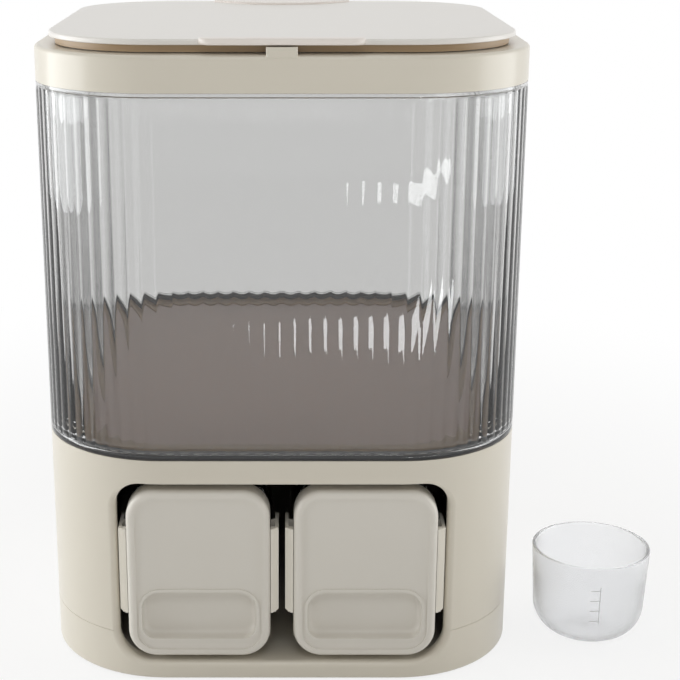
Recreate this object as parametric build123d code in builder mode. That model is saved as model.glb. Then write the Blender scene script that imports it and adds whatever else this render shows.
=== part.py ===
from build123d import *
import os

os.makedirs("parts", exist_ok=True)

# ---------------------------------------------------------------------------
# Driving dimensions, in millimetres.  +Z is up, the front faces -Y and the
# origin is the centre of the footprint on the counter.
# ---------------------------------------------------------------------------

# Rounded square plan that the base, the hopper and the collar share
body_width = 285.0
body_depth = 285.0
body_corner_radius = 73.4

# Heights: the first four from the counter, the rest on what is below them
tray_rim_clearance = 1.0
tray_floor_top = 12.0
seam_height = 29.2
base_height = 141.2
hopper_height = 210.8
collar_height = 20.2
lid_gap = 4.6
lid_height = 3.2

# Clearances
slip_fit = 0.3
snug_fit = 0.15
pin_clearance = 0.05
seam_chamfer = 0.35

# Base casing
base_wall = 2.6
tray_floor_thickness = 2.4
tray_edge_round = 2.0
tongue_height = 4.0
tongue_thickness = 1.3
ledge_thickness = 2.4
ledge_reach = 11.0
deck_thickness = 3.0

# Front opening for the two canisters
opening_side_wall = 45.3
opening_header = 14.2
opening_upper_radius = 14.5
opening_lower_radius = 19.0
opening_roll_radius = 3.4
opening_frame_wall = 3.0
opening_frame_depth = 12.0

# Screws that close the base, and the feet
screw_side_set_in = 16.5
screw_end_set_in = 62.5
screw_boss_radius = 5.5
screw_shank_radius = 1.75
screw_shank_length = 22.0
screw_head_radius = 3.6
screw_head_height = 2.4
screw_web = 8.0
screw_joint_rise = 10.8
housing_boss_length = 26.0
boss_rib_thickness = 3.0
foot_radius = 9.0
foot_height = 3.5
foot_recess_depth = 2.5
foot_boss_wall = 2.0
foot_set_in = 47.5

# Clear hopper
hopper_wall = 3.0
hopper_floor = 2.6
hopper_skirt_wall = 2.0
flange_height = 4.0
flange_edge_round = 0.6
reed_depth = 0.45
reeds_per_side = 16
reeds_per_corner = 14
plain_band_height = 2.0
rim_thickness = 1.85

# Collar
collar_wall = 1.6
collar_roof = 2.4
collar_lip_wall = 1.6
collar_lip_height = 10.0
collar_edge_round = 2.3
mouth_inset = 24.0
mouth_edge_round = 1.0
bead_inset = 15.6
bead_width = 1.6
bead_height = 0.8
keeper_width = 17.0
keeper_depth = 3.2
keeper_gap = 0.2
keeper_edge_round = 0.8

# Lid
lid_inset = 8.4
lid_roof = 1.8
lid_rim_width = 2.4
lid_edge_round = 1.3
lid_lower_round = 0.6
liner_plate = 1.8
liner_skirt_inset = 12.0
liner_skirt_wall = 1.8
liner_skirt_gap = 0.6
seal_width = 3.6
catch_tongue_width = 12.0
catch_tongue_wall = 1.4

# Front grip lip and the cover over the hinge
grip_width = 90.0
grip_reach = 8.2
grip_thickness = 3.7
grip_rise = 1.1
grip_corner_radius = 7.0
grip_edge_round = 1.5
cover_width = 94.0
cover_front_length = 9.0
cover_bulge = 27.5
cover_height = 1.3
cover_overhang = 4.8
cover_edge_round = 0.9

# Lid hinge
hinge_set_back = 5.3
hinge_pin_radius = 1.25
knuckle_radius = 2.8
hinge_span = 92.0
hinge_centre_knuckle = 23.4
hinge_lid_knuckle = 22.0
hinge_leaf_thickness = 2.2

# Canisters that serve as drawers
canister_side_gap = 5.75
canister_middle_gap = 13.9
canister_floor_gap = 3.5
canister_top_gap = 5.0
canister_lid_radius = 17.0
canister_lid_depth = 15.0
canister_lid_plate = 2.6
canister_lid_skirt = 2.2
canister_lid_round = 4.0
panel_border = 5.2
panel_recess = 0.8
plug_wall = 1.5
plug_depth = 7.0
canister_seal_thickness = 2.6
box_wall = 2.0
box_floor = 2.2
box_back_gap = 23.0
box_back_round = 6.0
box_inner_round = 4.0
box_flange_thickness = 2.5
box_bead_thickness = 1.6
box_bead_step = 2.6
box_bead_rise = 1.3
scoop_side_margin = 8.2
scoop_rise = 12.3
scoop_height = 30.3
scoop_depth = 6.6
scoop_wall = 1.8
scoop_upper_radius = 11.0
scoop_lower_radius = 8.0
scoop_floor_round = 3.5
scoop_ridge_width = 1.8
scoop_ridge_height = 0.7

# Side clips of the canister lids
clip_rise = 27.5
clip_height = 53.9
clip_reach = 4.95
clip_step = 1.55
clip_step_depth = 1.3
clip_front = 4.0
clip_web = 4.5
clip_plate = 2.0
clip_length = 25.0
clip_end_chamfer = 1.5

# Runners and side guides on the tray floor
runner_width = 4.0
runner_spread = 50.0
guide_wall = 2.0
guide_height = 16.0
guide_front = 34.0
guide_back_gap = 4.0

# Measuring cup standing beside the base
cup_centre_x = 196.0
cup_set_back = 68.0
cup_top_radius = 36.7
cup_base_radius = 33.6
cup_height = 58.0
cup_corner_radius = 20.0
cup_wall = 1.6

# ---------------------------------------------------------------------------
# Shared geometry
# ---------------------------------------------------------------------------

front_y = -body_depth / 2
back_y = body_depth / 2
collar_bottom = base_height + hopper_height
collar_top = collar_bottom + collar_height
lid_bottom = collar_top + lid_gap
lid_top = lid_bottom + lid_height
opening_width = body_width - 2 * opening_side_wall
opening_top = base_height - opening_header
screw_joint_height = seam_height + screw_joint_rise
ledge_top = base_height - deck_thickness - slip_fit
rim_top = collar_top - collar_roof - slip_fit
hopper_rim_inset = collar_wall + slip_fit
hopper_bore_inset = hopper_rim_inset + rim_thickness
hinge_y = back_y - hinge_set_back
hinge_z = collar_top + knuckle_radius + 2 * snug_fit
canister_lid_width = (opening_width - canister_middle_gap) / 2 - canister_side_gap
canister_pitch = canister_lid_width + canister_middle_gap
canister_lid_bottom = tray_floor_top + canister_floor_gap
canister_lid_top = opening_top - canister_top_gap
canister_height = canister_lid_top - canister_lid_bottom
canister_middle = (canister_lid_top + canister_lid_bottom) / 2
box_inset = canister_lid_skirt + slip_fit
box_front = canister_lid_plate + canister_seal_thickness + slip_fit
box_bottom = canister_lid_bottom + box_inset
box_back = body_depth - box_back_gap
scoop_width = canister_lid_width - 2 * scoop_side_margin
scoop_bottom = canister_lid_bottom + scoop_rise
scoop_top = scoop_bottom + scoop_height
clip_bottom = canister_lid_bottom + clip_rise
clip_top = clip_bottom + clip_height


def body_outline(inset, mode=Mode.ADD):
    """Rounded square plan of the body, drawn in by an inset."""
    RectangleRounded(
        body_width - 2 * inset,
        body_depth - 2 * inset,
        body_corner_radius - inset,
        mode=mode,
    )


def body_ring(outer_inset, inner_inset):
    """Wall section between two insets of the body plan."""
    body_outline(outer_inset)
    body_outline(inner_inset, mode=Mode.SUBTRACT)


def front_plane(set_back, centre_x=0.0):
    """Upright plane facing the front, a set-back behind the front face."""
    return Plane(
        origin=(centre_x, front_y + set_back, 0),
        x_dir=(1, 0, 0),
        z_dir=(0, -1, 0),
    )


def canister_outline(inset, mode=Mode.ADD):
    """Canister section seen from the front, drawn in from the lid's outline."""
    with Locations((0, canister_middle)):
        RectangleRounded(
            canister_lid_width - 2 * inset,
            canister_height - 2 * inset,
            canister_lid_radius - inset,
            mode=mode,
        )


def two_radius_panel(width, bottom, top, lower_radius, upper_radius):
    """Closed face of an upright panel with different lower and upper corners."""
    with BuildSketch() as panel:
        with Locations((0, (bottom + top) / 2)):
            Rectangle(width, top - bottom)
        fillet(panel.vertices().group_by(Axis.Y)[0], lower_radius)
        fillet(panel.vertices().group_by(Axis.Y)[-1], upper_radius)
    return panel.sketch


def opening_prism(bottom, top, grow, depth):
    """Straight block through the front wall, the shape of the drawer opening."""
    with BuildPart() as prism:
        with BuildSketch(front_plane(0)):
            add(
                two_radius_panel(
                    opening_width + 2 * grow,
                    bottom - grow,
                    top + grow,
                    opening_lower_radius + grow,
                    opening_upper_radius + grow,
                )
            )
        extrude(amount=-depth)
    return prism.part


# The rolled opening stops short of the top; a second cut then gives the crisp
# upper edge, so the rolled edge fades out round the upper corners.
rolled_opening = opening_prism(
    tray_floor_top, opening_top - opening_roll_radius, 0.0, opening_frame_depth * 2
)
crisp_opening = opening_prism(
    seam_height - opening_lower_radius, opening_top, 0.0, opening_frame_depth * 2
)
opening_frame = opening_prism(
    tray_floor_top, opening_top, opening_frame_wall, opening_frame_depth
)
with BuildPart() as body_block:
    with BuildSketch(Plane.XY):
        body_outline(base_wall / 2)
    extrude(amount=base_height)
opening_frame = opening_frame & body_block.part


def band(bottom, top):
    """Slab of the whole footprint between two heights."""
    with BuildPart() as slab:
        with Locations((0, 0, (bottom + top) / 2)):
            Box(body_width * 2, body_depth * 2, top - bottom)
    return slab.part


def opening_edges(part, low, high):
    """Outer edges of the drawer opening between two heights."""
    reach = opening_width / 2 + slip_fit
    return (
        part.edges()
        .filter_by(lambda edge: edge.center().Y < front_y + opening_frame_depth - slip_fit)
        .filter_by(lambda edge: abs(edge.bounding_box().min.X) <= reach)
        .filter_by(lambda edge: abs(edge.bounding_box().max.X) <= reach)
        .filter_by(lambda edge: low < edge.center().Z < high)
    )


# ---------------------------------------------------------------------------
# Base
# ---------------------------------------------------------------------------

screw_places = GridLocations(
    body_width - 2 * screw_side_set_in, body_depth - 2 * screw_end_set_in, 2, 2
)
foot_corners = GridLocations(
    body_width - 2 * foot_set_in, body_depth - 2 * foot_set_in, 2, 2
)
foot_boss_radius = foot_radius + slip_fit + foot_boss_wall
seat_height = foot_height - foot_recess_depth
tray_underside = tray_floor_top - tray_floor_thickness
screw_seat = screw_joint_height - screw_web
guide_back = box_back - guide_back_gap
guide_length = guide_back - guide_front
guide_middle = front_y + (guide_back + guide_front) / 2
canister_centres = (-canister_pitch / 2, canister_pitch / 2)
box_half_width = canister_lid_width / 2 - box_inset

with BuildPart() as base_tray:
    # Outer wall and the lower half of the frame round the opening
    with BuildSketch(Plane.XY.offset(tray_rim_clearance)):
        body_ring(0, base_wall)
    extrude(amount=seam_height - tray_rim_clearance)
    add(opening_frame & band(tray_underside, seam_height))
    add(rolled_opening, mode=Mode.SUBTRACT)
    tray_edges = opening_edges(base_tray, tray_floor_top - slip_fit, seam_height - slip_fit)
    fillet(tray_edges, opening_roll_radius)
    # Soft lower edge and a fine groove along the seam
    outer_edges = base_tray.faces().sort_by(Axis.Z)[0].outer_wire().edges()
    fillet(outer_edges, tray_edge_round)
    # Tongue that locates the housing, left out behind the opening
    with BuildSketch(Plane.XY.offset(seam_height)) as tongue_plan:
        body_ring(base_wall + snug_fit, base_wall + snug_fit + tongue_thickness)
        with Locations((0, front_y)):
            Rectangle(
                opening_width + 4 * opening_frame_wall,
                body_corner_radius,
                mode=Mode.SUBTRACT,
            )
    extrude(amount=tongue_height)
    with BuildSketch(Plane.XY.offset(seam_height - tongue_height)):
        body_ring(base_wall / 2, base_wall + snug_fit + tongue_thickness)
        with Locations((0, front_y)):
            Rectangle(
                opening_width + 4 * opening_frame_wall,
                body_corner_radius,
                mode=Mode.SUBTRACT,
            )
    extrude(amount=tongue_height)
base_tray.part.label = "base_tray"
export_step(base_tray.part, "parts/base_tray.step")

with BuildPart() as tray_floor:
    # Plate that fills the tray's wall, notched for the opening's frame
    with BuildSketch(Plane.XY.offset(tray_underside)):
        body_outline(base_wall)
    extrude(amount=tray_floor_thickness)
    add(opening_frame, mode=Mode.SUBTRACT)
    # Screw bosses, open below for the heads
    with BuildSketch(Plane.XY.offset(tray_underside)):
        with screw_places:
            Circle(screw_boss_radius)
    extrude(amount=screw_joint_height - tray_underside)
    with BuildSketch(Plane.XY.offset(tray_underside)):
        with screw_places:
            Circle(screw_head_radius + slip_fit)
    extrude(amount=screw_seat - tray_underside, mode=Mode.SUBTRACT)
    with BuildSketch(Plane.XY.offset(tray_underside)):
        with screw_places:
            Circle(screw_shank_radius + slip_fit)
    extrude(amount=screw_joint_height - tray_underside, mode=Mode.SUBTRACT)
    # Bosses with recesses for the five feet
    with BuildSketch(Plane.XY.offset(seat_height)):
        Circle(foot_boss_radius)
        with foot_corners:
            Circle(foot_boss_radius)
    extrude(amount=tray_underside - seat_height)
    with BuildSketch(Plane.XY.offset(seat_height)):
        Circle(foot_radius + slip_fit)
        with foot_corners:
            Circle(foot_radius + slip_fit)
    extrude(amount=foot_recess_depth, mode=Mode.SUBTRACT)
tray_floor.part.label = "tray_floor"
export_step(tray_floor.part, "parts/tray_floor.step")

# Runners under each canister and low guides beside them
with BuildPart() as canister_rails:
    with BuildSketch(Plane.XY.offset(tray_floor_top)):
        for centre_x in canister_centres:
            with Locations((centre_x, guide_middle)):
                with GridLocations(runner_spread, 1, 2, 1):
                    Rectangle(runner_width, guide_length)
    extrude(amount=box_bottom - slip_fit - tray_floor_top)
    with BuildSketch(Plane.XY.offset(tray_floor_top)):
        for centre_x in canister_centres:
            with Locations((centre_x, guide_middle)):
                with GridLocations(2 * (box_half_width + 2 * slip_fit) + guide_wall, 1, 2, 1):
                    Rectangle(guide_wall, guide_length)
    extrude(amount=guide_height)
canister_rails.part.label = "canister_rails"
export_step(canister_rails.part, "parts/canister_rails.step")

with BuildPart() as base_housing:
    # Outer wall, the ledge that carries the hopper, and the upper opening frame
    with BuildSketch(Plane.XY.offset(seam_height)):
        body_ring(0, base_wall)
    extrude(amount=base_height - seam_height)
    seam_edges = base_housing.faces().sort_by(Axis.Z)[0].outer_wire().edges()
    chamfer(seam_edges, seam_chamfer)
    with BuildSketch(Plane.XY.offset(ledge_top - ledge_thickness)):
        body_ring(base_wall / 2, base_wall + ledge_reach)
    extrude(amount=ledge_thickness)
    add(opening_frame & band(seam_height, base_height))
    add(rolled_opening, mode=Mode.SUBTRACT)
    housing_edges = opening_edges(base_housing, seam_height + slip_fit, opening_top)
    fillet(housing_edges, opening_roll_radius)
    add(crisp_opening & band(seam_height + opening_upper_radius, base_height), mode=Mode.SUBTRACT)
    # Screw bosses tied to the side walls by ribs
    with BuildSketch(Plane.XY.offset(screw_joint_height)):
        with screw_places:
            Circle(screw_boss_radius)
        rib_length = screw_side_set_in - base_wall / 2
        with GridLocations(
            body_width - base_wall / 2 - screw_side_set_in,
            body_depth - 2 * screw_end_set_in,
            2,
            2,
        ):
            Rectangle(rib_length, boss_rib_thickness)
        with screw_places:
            Circle(screw_shank_radius, mode=Mode.SUBTRACT)
    extrude(amount=housing_boss_length)
base_housing.part.label = "base_housing"
export_step(base_housing.part, "parts/base_housing.step")

with BuildPart() as housing_screws:
    with BuildSketch(Plane.XY.offset(screw_seat - screw_head_height)):
        with screw_places:
            Circle(screw_head_radius)
    extrude(amount=screw_head_height)
    fillet(housing_screws.faces().group_by(Axis.Z)[0].edges(), screw_head_height / 2)
    with BuildSketch(Plane.XY.offset(screw_seat)):
        with screw_places:
            Circle(screw_shank_radius)
    extrude(amount=screw_shank_length)
housing_screws.part.label = "housing_screws"
export_step(housing_screws.part, "parts/housing_screws.step")

with BuildPart() as rubber_feet:
    with BuildSketch(Plane.XY):
        Circle(foot_radius)
        with foot_corners:
            Circle(foot_radius)
    extrude(amount=foot_height)
rubber_feet.part.label = "rubber_feet"
export_step(rubber_feet.part, "parts/rubber_feet.step")

# ---------------------------------------------------------------------------
# Hopper and collar
# ---------------------------------------------------------------------------

with BuildPart() as hopper_deck:
    with BuildSketch(Plane.XY.offset(ledge_top)):
        body_outline(base_wall + hopper_skirt_wall + 2 * slip_fit)
    extrude(amount=deck_thickness)
hopper_deck.part.label = "hopper_deck"
export_step(hopper_deck.part, "parts/hopper_deck.step")

# The reeds run round the plan as shallow arcs, from valley to crest to valley
with BuildSketch() as crest_plan:
    body_outline(0)
with BuildSketch() as valley_plan:
    body_outline(reed_depth)
crest_edges = crest_plan.sketch.face().outer_wire().order_edges()
valley_edges = valley_plan.sketch.face().outer_wire().order_edges()
with BuildSketch() as reeded_plan:
    with BuildLine():
        for crest_edge, valley_edge in zip(crest_edges, valley_edges):
            straight = crest_edge.geom_type == GeomType.LINE
            reeds = reeds_per_side if straight else reeds_per_corner
            for reed in range(reeds):
                ThreePointArc(
                    valley_edge @ (reed / reeds),
                    crest_edge @ ((reed + 0.5) / reeds),
                    valley_edge @ ((reed + 1) / reeds),
                )
    make_face()

with BuildPart() as hopper:
    with BuildSketch(Plane.XY.offset(ledge_top)):
        body_ring(base_wall + slip_fit, base_wall + slip_fit + hopper_skirt_wall)
    extrude(amount=base_height - ledge_top)
    with BuildSketch(Plane.XY.offset(base_height)):
        body_outline(0)
    extrude(amount=flange_height)
    fillet(hopper.faces().sort_by(Axis.Z)[-1].outer_wire().edges(), flange_edge_round)
    with BuildSketch(Plane.XY.offset(base_height + flange_height)):
        add(reeded_plan.sketch)
    extrude(amount=collar_bottom - plain_band_height - base_height - flange_height)
    with BuildSketch(Plane.XY.offset(collar_bottom - plain_band_height)):
        body_outline(0)
    extrude(amount=plain_band_height)
    with BuildSketch(Plane.XY.offset(collar_bottom)):
        body_outline(hopper_rim_inset)
    extrude(amount=rim_top - collar_bottom)
    with BuildSketch(Plane.XY.offset(base_height + hopper_floor)):
        body_outline(hopper_bore_inset)
    extrude(amount=rim_top - base_height - hopper_floor, mode=Mode.SUBTRACT)
hopper.part.label = "hopper"
export_step(hopper.part, "parts/hopper.step")

keeper_top = lid_bottom - keeper_gap
lip_inset = hopper_bore_inset + slip_fit
pedestal_width = (hinge_span - hinge_centre_knuckle) / 2 - hinge_lid_knuckle - slip_fit
pedestal_offset = (hinge_span - pedestal_width) / 2
lid_knuckle_offset = (hinge_centre_knuckle + hinge_lid_knuckle) / 2 + slip_fit / 2
hinge_plane = Plane(origin=(0, hinge_y, hinge_z), x_dir=(0, 1, 0), z_dir=(1, 0, 0))

with BuildPart() as collar:
    with BuildSketch(Plane.XY.offset(collar_bottom)):
        body_outline(0)
    extrude(amount=collar_top - collar_bottom)
    fillet(collar.faces().sort_by(Axis.Z)[-1].edges(), collar_edge_round)
    # Pocket that takes the hopper's rim, around a plain inner lip
    with BuildSketch(Plane.XY.offset(collar_bottom)):
        body_outline(collar_wall)
    extrude(amount=collar_top - collar_roof - collar_bottom, mode=Mode.SUBTRACT)
    with BuildSketch(Plane.XY.offset(collar_top - collar_roof - collar_lip_height)):
        body_ring(lip_inset, lip_inset + collar_lip_wall)
    extrude(amount=collar_lip_height)
    with BuildSketch(Plane.XY.offset(collar_top - collar_roof)):
        body_outline(mouth_inset)
    extrude(amount=collar_roof, mode=Mode.SUBTRACT)
    mouth_edges = collar.faces().sort_by(Axis.Z)[-1].inner_wires()[0].edges()
    fillet(mouth_edges, mouth_edge_round)
    # Low bead that the lid's seal meets
    with BuildSketch(Plane.XY.offset(collar_top)):
        body_ring(bead_inset, bead_inset + bead_width)
    extrude(amount=bead_height)
    # Keeper block under the grip lip, flush with the front
    with BuildSketch(Plane.XY.offset(collar_top - collar_roof / 2)):
        with Locations((0, front_y + keeper_depth / 2 + snug_fit)):
            Rectangle(keeper_width, keeper_depth)
    extrude(amount=keeper_top - collar_top + collar_roof / 2)
    keeper_edges = (
        collar.edges()
        .filter_by(Axis.Z)
        .filter_by(lambda edge: abs(edge.center().X) < keeper_width / 2 + slip_fit)
        .filter_by(lambda edge: edge.center().Y < front_y + keeper_depth / 2)
    )
    fillet(keeper_edges, keeper_edge_round)
    # Hinge pedestals with the collar's own knuckles
    for centre_x, width in (
        (-pedestal_offset, pedestal_width),
        (0, hinge_centre_knuckle),
        (pedestal_offset, pedestal_width),
    ):
        with BuildSketch(hinge_plane.offset(centre_x - width / 2)):
            Circle(knuckle_radius)
            with Locations((0, (collar_top - collar_roof / 2 - hinge_z) / 2)):
                Rectangle(2 * knuckle_radius, hinge_z - collar_top + collar_roof / 2)
        extrude(amount=width)
    with BuildSketch(hinge_plane.offset(-hinge_span)):
        Circle(hinge_pin_radius)
    extrude(amount=2 * hinge_span, mode=Mode.SUBTRACT)
collar.part.label = "collar"
export_step(collar.part, "parts/collar.step")

with BuildPart() as hinge_pin:
    with BuildSketch(hinge_plane.offset(-hinge_span / 2)):
        Circle(hinge_pin_radius)
    extrude(amount=hinge_span)
    chamfer(hinge_pin.faces().filter_by(Axis.X).edges(), hinge_pin_radius / 5)
hinge_pin.part.label = "hinge_pin"
export_step(hinge_pin.part, "parts/hinge_pin.step")

# ---------------------------------------------------------------------------
# Lid
# ---------------------------------------------------------------------------

roof_underside = lid_top - lid_roof
liner_inset = lid_inset + lid_rim_width + slip_fit
liner_bottom = roof_underside - liner_plate
skirt_bottom = collar_top + liner_skirt_gap
seal_inset = liner_skirt_inset + liner_skirt_wall + snug_fit
seal_bottom = collar_top + bead_height + slip_fit
inner_skirt_inset = seal_inset + seal_width + snug_fit

with BuildPart() as lid_shell:
    with BuildSketch(Plane.XY.offset(lid_bottom)):
        body_outline(lid_inset)
    extrude(amount=lid_top - lid_bottom)
    fillet(lid_shell.faces().sort_by(Axis.Z)[-1].edges(), lid_edge_round)
    fillet(lid_shell.faces().sort_by(Axis.Z)[0].edges(), lid_lower_round)
    with BuildSketch(Plane.XY.offset(lid_bottom)):
        body_outline(lid_inset + lid_rim_width)
    extrude(amount=roof_underside - lid_bottom, mode=Mode.SUBTRACT)
lid_shell.part.label = "lid_shell"
export_step(lid_shell.part, "parts/lid_shell.step")

with BuildPart() as lid_liner:
    with BuildSketch(Plane.XY.offset(liner_bottom)):
        body_outline(liner_inset)
    extrude(amount=liner_plate)
    with BuildSketch(Plane.XY.offset(skirt_bottom)):
        body_ring(liner_skirt_inset, liner_skirt_inset + liner_skirt_wall)
        body_ring(inner_skirt_inset, inner_skirt_inset + liner_skirt_wall)
    extrude(amount=liner_bottom - skirt_bottom)
    # Catch tongue behind the collar's keeper
    with BuildSketch(Plane.XY.offset(skirt_bottom)):
        with Locations((0, front_y + keeper_depth + 2 * slip_fit + catch_tongue_wall / 2)):
            Rectangle(catch_tongue_width, catch_tongue_wall)
    extrude(amount=lid_bottom - slip_fit - skirt_bottom)
    with BuildSketch(Plane.XY.offset(lid_bottom - slip_fit - catch_tongue_wall)):
        tongue_start = front_y + keeper_depth + 2 * slip_fit
        tongue_end = front_y + liner_skirt_inset + liner_skirt_wall
        with Locations((0, (tongue_start + tongue_end) / 2)):
            Rectangle(catch_tongue_width, tongue_end - tongue_start)
    extrude(amount=catch_tongue_wall)
    # Hinge leaves from the skirt to the knuckles behind the shell
    for centre_x in (-lid_knuckle_offset, lid_knuckle_offset):
        leaf_front = back_y - liner_skirt_inset - liner_skirt_wall
        leaf_top = lid_bottom - slip_fit
        width = hinge_lid_knuckle - slip_fit
        with BuildSketch(hinge_plane.offset(centre_x - width / 2)):
            Circle(knuckle_radius)
            with Locations(
                (
                    (leaf_front - hinge_y) / 2,
                    leaf_top - hinge_leaf_thickness / 2 - hinge_z,
                )
            ):
                Rectangle(hinge_y - leaf_front, hinge_leaf_thickness)
        extrude(amount=width)
    with BuildSketch(hinge_plane.offset(-hinge_span)):
        Circle(hinge_pin_radius + pin_clearance)
    extrude(amount=2 * hinge_span, mode=Mode.SUBTRACT)
lid_liner.part.label = "lid_liner"
export_step(lid_liner.part, "parts/lid_liner.step")

with BuildPart() as lid_seal:
    with BuildSketch(Plane.XY.offset(seal_bottom)):
        body_ring(seal_inset, seal_inset + seal_width)
    extrude(amount=liner_bottom - seal_bottom)
lid_seal.part.label = "lid_seal"
export_step(lid_seal.part, "parts/lid_seal.step")

grip_top = lid_top + grip_rise
with BuildPart() as grip_lip:
    with BuildSketch(Plane.XY.offset(grip_top - grip_thickness)) as grip_plan:
        with Locations((0, front_y + lid_inset - grip_reach / 2)):
            Rectangle(grip_width, grip_reach)
        fillet(grip_plan.vertices().group_by(Axis.Y)[0], grip_corner_radius)
    extrude(amount=grip_thickness)
    front_rim = grip_lip.edges().group_by(Axis.Z)[0] + grip_lip.edges().group_by(Axis.Z)[-1]
    front_rim = front_rim.filter_by(lambda edge: edge.center().Y < front_y + lid_inset - snug_fit)
    fillet(front_rim, grip_edge_round)
grip_lip.part.label = "grip_lip"
export_step(grip_lip.part, "parts/grip_lip.step")

lid_back = back_y - lid_inset
with BuildPart() as hinge_cover:
    with BuildSketch(Plane.XY.offset(lid_top)):
        with BuildLine():
            ThreePointArc(
                (-cover_width / 2, lid_back - cover_front_length),
                (0, lid_back - cover_front_length - cover_bulge),
                (cover_width / 2, lid_back - cover_front_length),
            )
            Polyline(
                (cover_width / 2, lid_back - cover_front_length),
                (cover_width / 2, lid_back + cover_overhang),
                (-cover_width / 2, lid_back + cover_overhang),
                (-cover_width / 2, lid_back - cover_front_length),
            )
        make_face()
    extrude(amount=cover_height)
    fillet(hinge_cover.faces().sort_by(Axis.Z)[-1].edges(), cover_edge_round)
    with BuildSketch(Plane.XY.offset(hinge_z + knuckle_radius + slip_fit)):
        with Locations((0, lid_back + (cover_overhang + snug_fit) / 2)):
            Rectangle(cover_width, cover_overhang - snug_fit)
    extrude(amount=lid_top - hinge_z - knuckle_radius - slip_fit)
hinge_cover.part.label = "hinge_cover"
export_step(hinge_cover.part, "parts/hinge_cover.step")

# ---------------------------------------------------------------------------
# Canisters: one clear box, lid, seal and two side clips for each bay
# ---------------------------------------------------------------------------

flange_front = canister_lid_depth + slip_fit
bead_front = flange_front + box_flange_thickness + box_bead_step

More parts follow.
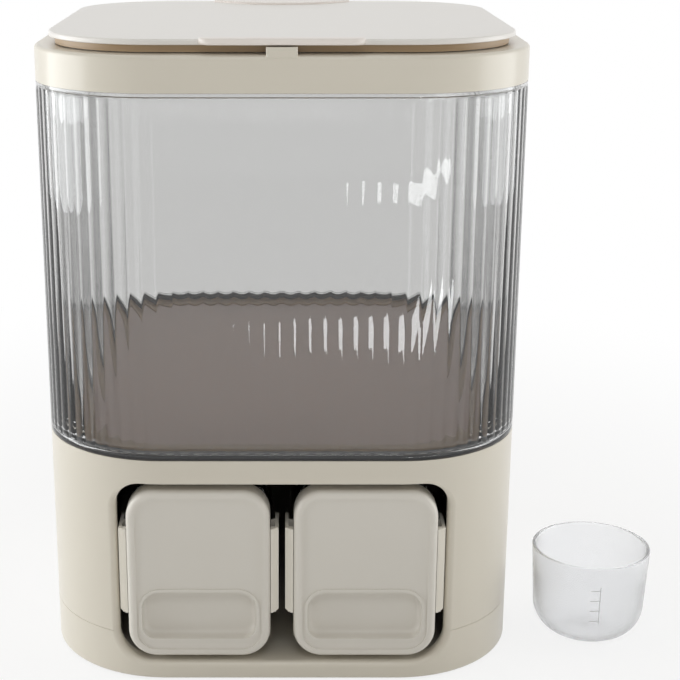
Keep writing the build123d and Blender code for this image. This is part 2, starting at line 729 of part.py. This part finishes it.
for side, centre_x in zip(("left", "right"), canister_centres):
    with BuildPart() as drawer_box:
        with BuildSketch(front_plane(box_front, centre_x)):
            canister_outline(box_inset)
        extrude(amount=box_front - box_back)
        fillet(drawer_box.faces().sort_by(Axis.Y)[-1].edges(), box_back_round)
        with BuildSketch(front_plane(flange_front, centre_x)):
            canister_outline(snug_fit)
        extrude(amount=-box_flange_thickness)
        with BuildSketch(front_plane(bead_front, centre_x)):
            canister_outline(box_inset - box_bead_rise)
        extrude(amount=-box_bead_thickness)
        with BuildPart(mode=Mode.PRIVATE) as box_core:
            with BuildSketch(front_plane(box_front, centre_x)):
                canister_outline(box_inset + box_wall)
            extrude(amount=box_front - box_back + box_floor)
            fillet(box_core.faces().sort_by(Axis.Y)[-1].edges(), box_inner_round)
        add(box_core.part, mode=Mode.SUBTRACT)
    drawer_box.part.label = f"drawer_box_{side}"
    export_step(drawer_box.part, f"parts/drawer_box_{side}.step")

    with BuildPart() as drawer_lid:
        with BuildSketch(front_plane(0, centre_x)):
            canister_outline(0)
        extrude(amount=-canister_lid_depth)
        fillet(drawer_lid.faces().sort_by(Axis.Y)[0].edges(), canister_lid_round)
        with BuildSketch(front_plane(canister_lid_plate, centre_x)):
            canister_outline(canister_lid_skirt)
        extrude(amount=canister_lid_plate - canister_lid_depth, mode=Mode.SUBTRACT)
        with BuildSketch(front_plane(0, centre_x)):
            canister_outline(panel_border)
        extrude(amount=-panel_recess, mode=Mode.SUBTRACT)
        # Plug wall that holds the seal against the skirt
        with BuildSketch(front_plane(canister_lid_plate, centre_x)):
            canister_outline(box_inset + box_wall + slip_fit)
            canister_outline(box_inset + box_wall + slip_fit + plug_wall, mode=Mode.SUBTRACT)
        extrude(amount=-plug_depth)
        # Finger scoop, with a ridge round its mouth and a shell behind it
        with BuildSketch(front_plane(canister_lid_plate, centre_x)):
            add(
                two_radius_panel(
                    scoop_width + 2 * scoop_wall,
                    scoop_bottom - scoop_wall,
                    scoop_top + scoop_wall,
                    scoop_lower_radius + scoop_wall,
                    scoop_upper_radius + scoop_wall,
                )
            )
        extrude(amount=canister_lid_plate - panel_recess - scoop_depth - scoop_wall)
        with BuildSketch(front_plane(panel_recess - scoop_ridge_height, centre_x)):
            add(
                two_radius_panel(
                    scoop_width + 2 * scoop_ridge_width,
                    scoop_bottom - scoop_ridge_width,
                    scoop_top + scoop_ridge_width,
                    scoop_lower_radius + scoop_ridge_width,
                    scoop_upper_radius + scoop_ridge_width,
                )
            )
        extrude(amount=-scoop_ridge_height)
        with BuildPart(mode=Mode.PRIVATE) as scoop_core:
            with BuildSketch(front_plane(0, centre_x)):
                add(
                    two_radius_panel(
                        scoop_width,
                        scoop_bottom,
                        scoop_top,
                        scoop_lower_radius,
                        scoop_upper_radius,
                    )
                )
            extrude(amount=-panel_recess - scoop_depth)
            fillet(scoop_core.faces().sort_by(Axis.Y)[-1].edges(), scoop_floor_round)
        add(scoop_core.part, mode=Mode.SUBTRACT)
    drawer_lid.part.label = f"drawer_lid_{side}"
    export_step(drawer_lid.part, f"parts/drawer_lid_{side}.step")

    with BuildPart() as drawer_seal:
        with BuildSketch(front_plane(canister_lid_plate, centre_x)):
            canister_outline(canister_lid_skirt + snug_fit)
            canister_outline(box_inset + box_wall + snug_fit, mode=Mode.SUBTRACT)
        extrude(amount=-canister_seal_thickness)
    drawer_seal.part.label = f"drawer_seal_{side}"
    export_step(drawer_seal.part, f"parts/drawer_seal_{side}.step")

    # Clips in plan: stepped front, plate along the box and a nose behind the
    # flange.  The second of the pair is the first one's mirror image.
    for hand in (-1, 1):
        lid_side = centre_x + hand * canister_lid_width / 2
        clip_inner = slip_fit
        clip_outer = clip_reach
        plate_inner = clip_outer - clip_plate
        clip_back = clip_front + clip_length
        nose_front = flange_front + box_flange_thickness + slip_fit
        nose_back = nose_front + clip_plate
        outline = [
            (clip_inner, clip_front),
            (clip_inner + clip_step, clip_front),
            (clip_inner + clip_step, clip_front + clip_step_depth),
            (clip_inner + 2 * clip_step, clip_front + clip_step_depth),
            (clip_inner + 2 * clip_step, clip_front + 2 * clip_step_depth),
            (clip_outer, clip_front + 2 * clip_step_depth),
            (clip_outer, clip_back),
            (plate_inner, clip_back),
            (plate_inner, nose_back),
            (clip_inner, nose_back - clip_plate / 2),
            (clip_inner, nose_front),
            (plate_inner, nose_front),
            (plate_inner, clip_front + clip_web),
            (clip_inner, clip_front + clip_web),
        ]
        with BuildPart() as drawer_clip:
            with BuildSketch(Plane.XY.offset(clip_bottom)):
                with BuildLine():
                    Polyline(
                        [(lid_side + hand * out, front_y + back) for out, back in outline],
                        close=True,
                    )
                make_face()
            extrude(amount=clip_top - clip_bottom)
            lower_edges = drawer_clip.edges().filter_by(Axis.Y).group_by(Axis.Z)[0]
            outer_edge = lower_edges.sort_by(lambda edge: hand * edge.center().X)[-1]
            chamfer(outer_edge, clip_end_chamfer)
        place = "outer" if hand * centre_x > 0 else "inner"
        drawer_clip.part.label = f"drawer_clip_{side}_{place}"
        export_step(drawer_clip.part, f"parts/drawer_clip_{side}_{place}.step")

# ---------------------------------------------------------------------------
# Measuring cup
# ---------------------------------------------------------------------------

cup_plane = Plane(
    origin=(cup_centre_x, front_y + cup_set_back, 0), x_dir=(1, 0, 0), z_dir=(0, -1, 0)
)
with BuildPart() as measuring_cup:
    with BuildSketch(cup_plane) as cup_profile:
        with BuildLine():
            Polyline(
                (0, 0),
                (cup_base_radius, 0),
                (cup_top_radius, cup_height),
                (0, cup_height),
                close=True,
            )
        make_face()
        outer_corner = cup_profile.vertices().group_by(Axis.Y)[0].sort_by(Axis.X)[-1]
        fillet(outer_corner, cup_corner_radius)
    revolve(axis=Axis(cup_plane.origin, (0, 0, 1)))
    with BuildSketch(cup_plane) as cup_core:
        with BuildLine():
            Polyline(
                (0, cup_wall),
                (cup_base_radius - cup_wall, cup_wall),
                (cup_top_radius - cup_wall, cup_height),
                (0, cup_height),
                close=True,
            )
        make_face()
        inner_corner = cup_core.vertices().group_by(Axis.Y)[0].sort_by(Axis.X)[-1]
        fillet(inner_corner, cup_corner_radius - cup_wall)
    revolve(axis=Axis(cup_plane.origin, (0, 0, 1)), mode=Mode.SUBTRACT)
measuring_cup.part.label = "measuring_cup"
export_step(measuring_cup.part, "parts/measuring_cup.step")
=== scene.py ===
import math

import bmesh
import bpy
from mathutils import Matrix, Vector


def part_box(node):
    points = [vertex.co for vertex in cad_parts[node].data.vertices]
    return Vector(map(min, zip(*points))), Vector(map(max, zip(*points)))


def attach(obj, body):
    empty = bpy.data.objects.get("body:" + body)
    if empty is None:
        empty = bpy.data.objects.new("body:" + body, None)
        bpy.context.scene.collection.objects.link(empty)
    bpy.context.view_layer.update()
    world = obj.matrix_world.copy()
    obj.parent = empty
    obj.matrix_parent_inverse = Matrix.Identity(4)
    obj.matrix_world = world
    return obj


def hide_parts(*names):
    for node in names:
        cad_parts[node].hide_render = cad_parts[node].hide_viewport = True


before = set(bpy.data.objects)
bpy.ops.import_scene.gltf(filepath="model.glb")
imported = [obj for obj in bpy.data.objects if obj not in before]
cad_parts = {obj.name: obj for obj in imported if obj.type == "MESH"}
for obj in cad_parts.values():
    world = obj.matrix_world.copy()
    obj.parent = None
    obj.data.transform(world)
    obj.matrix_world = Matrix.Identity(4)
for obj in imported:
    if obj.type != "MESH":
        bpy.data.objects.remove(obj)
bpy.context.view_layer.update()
scene = bpy.context.scene
scene.view_settings.view_transform = "Standard"

# --- Camera ---------------------------------------------------------------
# A product shot taken from a little above the lid, straight in front of the
# bin, with the frame shifted sideways to make room for the measuring cup.
photo_side = 680
focal_pixels = 1517.85
centre_column = 281.9
camera_back = 0.95798
camera_height = 0.46209
camera_tilt = 0.295
camera_data = bpy.data.cameras.new("front_camera")
camera_data.sensor_width = 36.0
camera_data.lens = focal_pixels * camera_data.sensor_width / photo_side
camera_data.shift_x = (photo_side / 2 - centre_column) / photo_side
camera = bpy.data.objects.new("front_camera", camera_data)
camera.location = (0.0, -camera_back, camera_height)
camera.rotation_euler = (math.pi / 2 - camera_tilt, 0.0, 0.0)
scene.collection.objects.link(camera)
scene.camera = camera


# --- Backdrop and light ---------------------------------------------------
# A white sweep with softboxes left, right, above and in front, and a lit card
# that lies before the bin. Camera, mirror and see-through rays meet plain
# white paper behind the bin.
class Wire:
    """A shader socket on which arithmetic can be written."""

    def __init__(self, socket):
        self.socket = socket

    def maths(self, operation, other):
        tree = self.socket.id_data
        node = tree.nodes.new("ShaderNodeMath")
        node.operation = operation
        for slot, side in zip(node.inputs, (self, other)):
            if isinstance(side, Wire):
                tree.links.new(side.socket, slot)
            else:
                slot.default_value = side
        return Wire(node.outputs[0])

    def __add__(self, other):
        return self.maths("ADD", other)

    def __mul__(self, other):
        return self.maths("MULTIPLY", other)

    __radd__ = __add__
    __rmul__ = __mul__


class Finish:
    """One material's or world's nodes; add() makes any node and wires it up."""

    def __init__(self, owner):
        owner.use_nodes = True
        self.owner = owner
        self.tree = owner.node_tree
        self.tree.nodes.clear()

    def add(self, kind, settings=None, sockets=None, out=0):
        node = self.tree.nodes.new("ShaderNode" + kind)
        for name, value in (settings or {}).items():
            setattr(node, name, value)
        for name, value in (sockets or {}).items():
            if isinstance(value, Wire):
                self.tree.links.new(value.socket, node.inputs[name])
            else:
                node.inputs[name].default_value = value
        return Wire(node.outputs[out]) if node.outputs else None


def seen_plainly(finish):
    """1 for rays from the camera, a mirror or something see-through, else 0."""
    straight = finish.add("LightPath", out="Is Camera Ray")
    mirrored = finish.add("LightPath", out="Is Glossy Ray")
    let_through = finish.add("LightPath", out="Is Transmission Ray")
    return straight + mirrored + let_through


mix_share, mix_first, mix_second = 0, 1, 2
paper_white = (1.0, 1.0, 1.0, 1.0)
paper_grey = (0.9, 0.9, 0.9, 1.0)
warm_white = (1.0, 0.955, 0.87, 1.0)

world = bpy.data.worlds.new("studio")
scene.world = world
room = Finish(world)
room_light = room.add("Background", sockets={"Color": warm_white, "Strength": 0.37})
room_paper = room.add("Background", sockets={"Color": paper_white, "Strength": 1.0})
room_seen = room.add(
    "MixShader",
    sockets={mix_share: seen_plainly(room), mix_first: room_light, mix_second: room_paper},
)
room.add("OutputWorld", sockets={"Surface": room_seen})

floor_mesh = bpy.data.meshes.new("studio_floor")
floor_shape = bmesh.new()
bmesh.ops.create_grid(floor_shape, x_segments=1, y_segments=1, size=4.0)
floor_shape.to_mesh(floor_mesh)
floor_shape.free()
floor = bpy.data.objects.new("studio_floor", floor_mesh)
scene.collection.objects.link(floor)
paper = Finish(bpy.data.materials.new("studio_paper"))
paper_place = paper.add("TexCoord", out="Object")
paper_reach = paper.add(
    "VectorMath", {"operation": "LENGTH"}, {"Vector": paper_place}, out="Value"
)
paper_fade = paper.add(
    "MapRange",
    {"interpolation_type": "SMOOTHSTEP"},
    {"Value": paper_reach, "From Min": 0.2, "From Max": 0.75, "To Min": 0.8, "To Max": 1.0},
)
paper_diffuse = paper.add("BsdfDiffuse", sockets={"Color": paper_grey})
paper_glow = paper.add("Emission", sockets={"Color": paper_white, "Strength": 1.0})
paper_mix = paper.add(
    "MixShader",
    sockets={
        mix_share: seen_plainly(paper) * paper_fade,
        mix_first: paper_diffuse,
        mix_second: paper_glow,
    },
)
paper.add("OutputMaterial", sockets={"Surface": paper_mix})
floor_mesh.materials.append(paper.owner)

# Each softbox has its place, its width and height, and its power in watts.
softboxes = {
    "left": ((-1.30, 0.0, 0.42), (1.2, 0.82), 11.3),
    "right": ((1.35, 0.0, 0.42), (1.1, 0.82), 7.0),
    "top": ((0.0, 0.25, 1.75), (1.6, 1.2), 3.5),
    "front": ((0.0, -1.15, 1.35), (0.45, 0.35), 2.3),
    "card": ((0.41, -0.79, 0.003), (0.50, 0.12), 2.0),
}
daylight = (0.96, 0.985, 1.0)
bin_middle = Vector((0.0, 0.0, 0.2))
for name, (place, spread, power) in softboxes.items():
    lamp_data = bpy.data.lights.new("softbox_" + name, "AREA")
    lamp_data.shape = "RECTANGLE"
    lamp_data.size, lamp_data.size_y = spread
    lamp_data.energy = power
    lamp_data.color = daylight
    lamp = bpy.data.objects.new("softbox_" + name, lamp_data)
    lamp.location = place
    aim = bin_middle - lamp.location
    lamp.rotation_euler = aim.to_track_quat("-Z", "Y").to_euler()
    scene.collection.objects.link(lamp)
# The card lies flat and faces straight up.
scene.objects["softbox_card"].rotation_euler = (math.pi, 0.0, 0.0)


# --- Base casing ----------------------------------------------------------
# Injection mouldings in cream ABS: a tray and a housing that meet at a fine
# seam and are held together by four screws from below.
def moulded(name, colour, roughness=0.3, coat=0.0):
    """Opaque moulded plastic: faint cloudy colour, uneven polish, fine skin."""
    mottle = 0.008
    polish = 0.04
    mix_dark, mix_light, mixed = 6, 7, 2
    plastic = Finish(bpy.data.materials.new(name))
    place = plastic.add("TexCoord", out="Object")
    clouds = plastic.add("TexNoise", sockets={"Vector": place, "Scale": 22.0, "Detail": 3.0})
    skin = plastic.add("TexNoise", sockets={"Vector": place, "Scale": 1400.0, "Detail": 2.0})
    darker = tuple(c * (1.0 - mottle) for c in colour) + (1.0,)
    lighter = tuple(c * (1.0 + mottle) for c in colour) + (1.0,)
    tint = plastic.add(
        "Mix",
        {"data_type": "RGBA"},
        {mix_share: clouds, mix_dark: darker, mix_light: lighter},
        out=mixed,
    )
    bump = plastic.add("Bump", sockets={"Height": skin, "Strength": 0.02, "Distance": 0.0004})
    shader = plastic.add(
        "BsdfPrincipled",
        sockets={
            "Base Color": tint,
            "Roughness": clouds * polish + skin * polish + (roughness - polish),
            "Normal": bump,
            "IOR": 1.5,
            "Coat Weight": coat,
            "Coat Roughness": 0.12,
        },
    )
    plastic.add("OutputMaterial", sockets={"Surface": shader})
    return plastic.owner


def dress(material, *nodes):
    """Gives CAD nodes their finish."""
    for node in nodes:
        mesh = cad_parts[node].data
        mesh.materials.clear()
        mesh.materials.append(material)


casing_plastic = moulded("casing_plastic", (0.72, 0.675, 0.585), coat=0.15)
dress(casing_plastic, "base_tray", "base_housing", "tray_floor", "canister_rails")

# --- Screws and feet ------------------------------------------------------
# Zinc plated self-tapping screws, a steel pin for the lid's hinge, and soft
# rubber pads pressed into recesses under the tray.
steel = moulded("screw_steel", (0.6, 0.6, 0.61))
dress(steel, "housing_screws", "hinge_pin")
rubber = moulded("foot_rubber", (0.05, 0.048, 0.045), roughness=0.7)
dress(rubber, "rubber_feet")

# --- Hopper ---------------------------------------------------------------
# A clear moulding with upright convex reeds outside, each ending in a small
# dome, and a smooth bore. A taupe floor plate closes it over the base. A thin
# raised border on the plate is coloured dark brown as painted shade of the
# ledge under the hopper's foot, and a near-black ring at the joint is painted
# shadow at the flange's foot.
half_plan = 0.1425
plan_corner = 0.0734
plan_straight = half_plan - plan_corner


def plan_loop(side_steps, corner_steps):
    """A closed loop of edges along the body's rounded square plan, at height 0."""
    merge = 1e-6
    shape = bmesh.new()
    corner = shape.verts.new((plan_straight, -half_plan, 0.0))
    bmesh.ops.spin(
        shape,
        geom=[corner],
        cent=(plan_straight, -plan_straight, 0.0),
        axis=(0.0, 0.0, 1.0),
        angle=math.pi / 2,
        steps=corner_steps,
    )
    near = min(shape.verts, key=lambda v: v.co.y)
    far = max(shape.verts, key=lambda v: v.co.y)
    runs = (
        (near, shape.verts.new((0.0, -half_plan, 0.0))),
        (far, shape.verts.new((half_plan, 0.0, 0.0))),
    )
    sides = [shape.edges.new(run) for run in runs]
    bmesh.ops.subdivide_edges(shape, edges=sides, cuts=side_steps // 2 - 1)
    for axis in ("X", "Y"):
        bmesh.ops.mirror(
            shape, geom=shape.verts[:] + shape.edges[:], axis=axis, merge_dist=merge
        )
    bmesh.ops.remove_doubles(shape, verts=shape.verts, dist=merge)
    return shape


def plan_place(point):
    """The nearest point of the plan's core, and the way straight out from it."""
    core = Vector((
        max(-plan_straight, min(plan_straight, point.x)),
        max(-plan_straight, min(plan_straight, point.y)),
        0.0,
    ))
    out = Vector((point.x, point.y, 0.0)) - core
    return core, out.normalized()


def sweep_profile(shape, profile, lift=None):
    """Runs (inset, height) rows round the plan and back to the first of them.

    A row's third value, where it has one, is its share of the lift layer.
    """
    ring = shape.edges[:]
    for row, (inset, height, *share) in enumerate(profile + profile[:1]):
        if row:
            grown = bmesh.ops.extrude_edge_only(shape, edges=ring)["geom"]
            ring = [e for e in grown if isinstance(e, bmesh.types.BMEdge)]
            verts = [v for v in grown if isinstance(v, bmesh.types.BMVert)]
        else:
            verts = shape.verts[:]
        for v in verts:
            core, out = plan_place(v.co)
            raised = v[lift] * share[0] if share else 0.0
            v.co = core + out * (plan_corner - inset + raised)
            v.co.z = height
    bmesh.ops.remove_doubles(shape, verts=shape.verts, dist=1e-7)


def finished(name, shape, material, body, slot, *nodes, sharp=40.0):
    """Turns a bmesh into a piece that rides on a body and stands for its nodes."""
    bmesh.ops.recalc_face_normals(shape, faces=shape.faces)
    mesh = bpy.data.meshes.new(name)
    shape.to_mesh(mesh)
    shape.free()
    for face in mesh.polygons:
        face.use_smooth = True
    mesh.set_sharp_from_angle(angle=math.radians(sharp))
    mesh.materials.append(material)
    piece = bpy.data.objects.new(name, mesh)
    scene.collection.objects.link(piece)
    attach(piece, body)
    if nodes:
        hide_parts(*nodes)


def clear(name, colour, roughness=0.03):
    """See-through moulded plastic with faint flow waves in its skin."""
    plastic = Finish(bpy.data.materials.new(name))
    place = plastic.add("TexCoord", out="Object")
    waves = plastic.add("TexNoise", sockets={"Vector": place, "Scale": 30.0, "Detail": 2.0})
    bump = plastic.add("Bump", sockets={"Height": waves, "Strength": 0.05, "Distance": 0.002})
    shader = plastic.add(
        "BsdfPrincipled",
        sockets={
            "Base Color": colour + (1.0,),
            "Roughness": waves * 0.03 + roughness,
            "Normal": bump,
            "IOR": 1.5,
            "Transmission Weight": 1.0,
        },
    )
    plastic.add("OutputMaterial", sockets={"Surface": shader})
    return plastic.owner


# Each reed is a shallow arc across its own width. The corners' reeds fan out,
# and a point that faces square on, but for a hair, is on a flat side.
reeds_per_side, reeds_per_corner, reed_cuts = 16, 14, 8
reed_depth = 0.00045
quarter_turn = math.pi / 2
hair = 1e-4
hopper_shape = plan_loop(reeds_per_side * reed_cuts, reeds_per_corner * reed_cuts)
reed_lift = hopper_shape.verts.layers.float.new("reed")
for v in hopper_shape.verts:
    out = plan_place(v.co)[1]
    turn = math.atan2(abs(out.x), abs(out.y))
    if hair < turn < quarter_turn - hair:
        width = plan_corner * quarter_turn / reeds_per_corner
        along = turn / quarter_turn * reeds_per_corner
    else:
        width = 2 * plan_straight / reeds_per_side
        run = v.co.x if abs(out.y) > 0.5 else v.co.y
        along = (run + plan_straight) / width
    arc = (width * width / 4 + reed_depth * reed_depth) / (2 * reed_depth)
    aside = (along % 1.0 - 0.5) * width
    v[reed_lift] = math.sqrt(arc * arc - aside * aside) - (arc - reed_depth)


def quarter(steps):
    """Turns from nothing up to a right angle."""
    return [step / steps * quarter_turn for step in range(steps + 1)]


# The profile runs up the outside from the skirt's foot, over the rim and down
# the bore. The short rows round off its edges by fractions of a millimetre.
skirt_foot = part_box("hopper")[0][2] + 0.00002
skirt_outside, skirt_inside = 0.0033, 0.0050
flange_foot, flange_top = 0.1412, 0.1452
floor_top = 0.1438
reed_foot = flange_top + 0.0003
reed_top = 0.3500
dome = 0.0032
foot_dome = dome * 0.5
dome_foot = reed_top - 0.0008 - dome
shoulder = 0.35195
rim_top = 0.3695
rim_inset, bore_inset = 0.0019, 0.00375
flange_edge = [
    (0.0006, flange_foot),
    (0.0002, flange_foot + 0.0002),
    (0.0, flange_foot + 0.0006),
    (0.0, flange_top - 0.0008),
    (0.0002, flange_top - 0.0003),
    (0.0005, flange_top),
]
reed_feet = [
    (reed_depth, reed_foot + foot_dome * (1 - math.cos(turn)), math.sin(turn))
    for turn in quarter(steps=4)
]
reed_domes = [
    (reed_depth, dome_foot + dome * math.sin(turn), math.cos(turn))
    for turn in quarter(steps=6)
]
shoulder_edge = [
    (0.0004, reed_top - 0.0004),
    (0.0001, reed_top - 0.0001),
    (0.0, reed_top + 0.0003),
    (0.0, shoulder - 0.00005),
    (0.0002, shoulder),
    (rim_inset, shoulder),
]
rim_edge = [
    (rim_inset, rim_top - 0.0003),
    (rim_inset + 0.0004, rim_top),
    (bore_inset - 0.0004, rim_top),
    (bore_inset, rim_top - 0.0004),
]
hopper_profile = [(skirt_outside, skirt_foot), (skirt_outside, flange_foot)]
hopper_profile += flange_edge + reed_feet + reed_domes + shoulder_edge + rim_edge
hopper_profile += [(bore_inset, floor_top), (skirt_inside, flange_foot)]
hopper_profile += [(skirt_inside, skirt_foot)]
sweep_profile(hopper_shape, hopper_profile, reed_lift)
hopper_clear = clear("hopper_clear", (0.72, 0.72, 0.715), roughness=0.0)
finished("hopper_walls", hopper_shape, hopper_clear, "base", "clear_plastic", "hopper")

deck_plastic = moulded("deck_plastic", (0.335, 0.238, 0.195), roughness=0.4, coat=0.4)
dress(deck_plastic, "hopper_deck")
deck_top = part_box("hopper_deck")[1][2]
over_deck = deck_top + 0.00005

# Painted shade: this thin band is coloured dark brown to stand for the shade along the ledge
# at the foot of the hopper's walls.
ledge_shade_plastic = moulded("ledge_shade_plastic", (0.29, 0.205, 0.125), roughness=0.45)
border_outside, border_inside = 0.0070, 0.0208
border_top = deck_top + 0.0009
border_profile = [
    (border_outside, over_deck),
    (border_outside, border_top - 0.0002),
    (border_outside + 0.0004, border_top),
    (border_inside - 0.0008, border_top),
    (border_inside, border_top - 0.0003),
    (border_inside, over_deck),
]
border_shape = plan_loop(side_steps=16, corner_steps=24)
sweep_profile(border_shape, border_profile)
finished("deck_shade_band", border_shape, ledge_shade_plastic, "base", "deck_taupe")

# Painted shadow: this ring is near-black to stand for the shadow at the foot of the hopper's
# flange.
shadow_gasket_rubber = moulded("shadow_gasket_rubber", (0.06, 0.06, 0.062), roughness=0.4)
gasket_outside, gasket_inside, gasket_tuck = 0.0040, 0.0068, 0.0054
gasket_profile = [
    (gasket_tuck, over_deck),
    (gasket_outside, floor_top),
    (gasket_outside, flange_top - 0.0003),
    (gasket_outside + 0.0003, flange_top),
    (gasket_inside - 0.0006, flange_top),
    (gasket_inside, flange_top - 0.0006),
    (gasket_inside, over_deck),
]
gasket_shape = plan_loop(side_steps=16, corner_steps=24)
sweep_profile(gasket_shape, gasket_profile)
finished("gasket_shadow_ring", gasket_shape, shadow_gasket_rubber, "base", "seal_silicone")

# --- Collar ---------------------------------------------------------------
# A moulding in the casing's cream ABS, pushed over the hopper's rim; it
# carries the lid's hinge.
dress(casing_plastic, "collar")

# --- Lid ------------------------------------------------------------------
# A white moulded shell over a liner whose dark warm brown is painted shade of
# the gap under the lid, with a soft silicone seal. A lip at the front gives a
# grip, and a cover hides the hinge.
lid_plastic = moulded("lid_plastic", (0.84, 0.815, 0.785))
# The liner's dark warm brown is painted shade of the gap under the lid.
shaded_liner_plastic = moulded("shaded_liner_plastic", (0.50, 0.36, 0.22), roughness=0.4)
trim_plastic = moulded("trim_plastic", (0.88, 0.82, 0.78))
silicone = moulded("seal_silicone", (0.8, 0.79, 0.76), roughness=0.55)
dress(lid_plastic, "lid_shell")
dress(shaded_liner_plastic, "lid_liner")
dress(silicone, "lid_seal")
dress(trim_plastic, "grip_lip", "hinge_cover")

# --- Canisters ------------------------------------------------------------
# Two clear boxes that slide in as drawers, each closed by a cream lid with a
# finger scoop, a soft seal and a snap clip on either side. The clips are given a
# lighter copy of the lid's cream as painted side light.
canister_plastic = moulded("canister_plastic", (0.745, 0.715, 0.66), roughness=0.34)
canister_clear = clear("canister_clear", (0.9, 0.9, 0.89))
# Painted light: the clips' lighter cream stands for the side light falling on them.
sidelit_clip_plastic = moulded("sidelit_clip_plastic", (0.88, 0.845, 0.77))
for side in ("left", "right"):
    dress(canister_clear, "drawer_box_" + side)
    dress(canister_plastic, "drawer_lid_" + side)
    dress(silicone, "drawer_seal_" + side)
    dress(sidelit_clip_plastic, f"drawer_clip_{side}_outer", f"drawer_clip_{side}_inner")


# --- Measuring cup --------------------------------------------------------
# A thin milky cup with a beaded rim, a gate mark inside its floor and a small
# raised scale facing front; it stands beside the bin.
def milky(name, colour, roughness, clearness):
    """Half-clear polypropylene: part see-through, part pale haze."""
    plastic = Finish(bpy.data.materials.new(name))
    place = plastic.add("TexCoord", out="Object")
    haze = plastic.add("TexNoise", sockets={"Vector": place, "Scale": 60.0, "Detail": 3.0})
    bump = plastic.add("Bump", sockets={"Height": haze, "Strength": 0.06, "Distance": 0.001})
    shader = plastic.add(
        "BsdfPrincipled",
        sockets={
            "Base Color": colour + (1.0,),
            "Roughness": haze * 0.06 + roughness,
            "Normal": bump,
            "IOR": 1.49,
            "Transmission Weight": clearness,
        },
    )
    plastic.add("OutputMaterial", sockets={"Surface": shader})
    return plastic.owner


cup_low, cup_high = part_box("measuring_cup")
cup_axis = Vector((
    (cup_low[0] + cup_high[0]) / 2,
    (cup_low[1] + cup_high[1]) / 2,
    cup_low[2],
))
# The wall leans out by cup_slope, so each unit of height is cup_slant of wall.
cup_foot = 0.0336
cup_slope = 0.05345
cup_slant = 1.0014
cup_wall = 0.0014
cup_bend = 0.020
bend_axis = cup_foot + cup_bend * cup_slope - cup_bend * cup_slant
bend_steps = 10


def bend_points(radius, first, step):
    """Points round the bend between the cup's floor and wall, by degrees."""
    turns = [math.radians(first + step * count) for count in range(bend_steps + 1)]
    return [
        (bend_axis + radius * math.cos(turn), cup_bend + radius * math.sin(turn))
        for turn in turns
    ]


# Radii and heights: the underside, up the outside, over the rim, down the
# inside, and the gate mark in the middle of the floor.
underside = [(0.0, 0.0010), (0.0070, 0.0008), (0.0125, 0.0002)]
beaded_rim = [(0.03575, 0.0400), (0.0366, 0.0564), (0.0367, 0.0571), (0.0365, 0.0577)]
beaded_rim += [(0.0361, 0.0580), (0.0352, 0.0580), (0.0346, 0.0577), (0.0343, 0.0571)]
beaded_rim += [(0.0344, 0.0563), (0.0349, 0.0550), (0.03435, 0.0400)]
gate_mark = [(0.0125, 0.0016), (0.0070, 0.0021), (0.0016, 0.0023), (0.0013, 0.0029)]
gate_mark += [(0.0006, 0.0031), (0.0, 0.0031)]
cup_profile = underside + bend_points(cup_bend, first=-90.0, step=8.7) + beaded_rim
cup_profile += bend_points(cup_bend - cup_wall, first=-3.0, step=-8.7) + gate_mark
cup_shape = bmesh.new()
cup_line = [cup_shape.verts.new(cup_axis + Vector((r, 0.0, z))) for r, z in cup_profile]
for near, far in zip(cup_line, cup_line[1:]):
    cup_shape.edges.new((near, far))
bmesh.ops.spin(
    cup_shape,
    geom=cup_shape.verts[:] + cup_shape.edges[:],
    cent=cup_axis,
    axis=(0.0, 0.0, 1.0),
    angle=2 * math.pi,
    steps=96,
    use_merge=True,
)
bmesh.ops.remove_doubles(cup_shape, verts=cup_shape.verts, dist=1e-6)
cup_milky = milky("cup_milky", (0.97, 0.975, 0.985), roughness=0.22, clearness=0.9)
finished("cup_body", cup_shape, cup_milky, "cup", "cup_plastic", "measuring_cup", sharp=60.0)

# The scale is an upright line with four ticks, sunk a little into the wall. A
# bar has its place across the cup, its middle's height, its width and height.
upright_line = (0.0, 0.0325, 0.0005, 0.0260)
first_tick, tick_gap = 0.0220, 0.0070
ticks = [(-0.0030, first_tick + tick_gap * tick, 0.0060, 0.00045) for tick in range(4)]
bar_depth = 0.00045
bar_sunk = 0.0001
scale_shape = bmesh.new()
for across, height, wide, tall in [upright_line, *ticks]:
    bar = bmesh.ops.create_cube(scale_shape, size=1.0)["verts"]
    wall = cup_foot + cup_slope * height
    depth = math.sqrt(wall * wall - across * across)
    for v in bar:
        v.co = Vector((v.co.x * wide, v.co.y * bar_depth, v.co.z * tall))
        v.co.y -= v.co.z * cup_slope
        v.co += cup_axis + Vector((across, -depth + bar_sunk, height))
bmesh.ops.bevel(
    scale_shape,
    geom=scale_shape.edges[:],
    offset=0.00012,
    affect="EDGES",
    segments=2,
    profile=0.5,
    material=-1,
)
scale_milky = milky("scale_milky", (0.97, 0.97, 0.98), roughness=0.35, clearness=0.6)
finished("cup_scale", scale_shape, scale_milky, "cup", "cup_plastic")
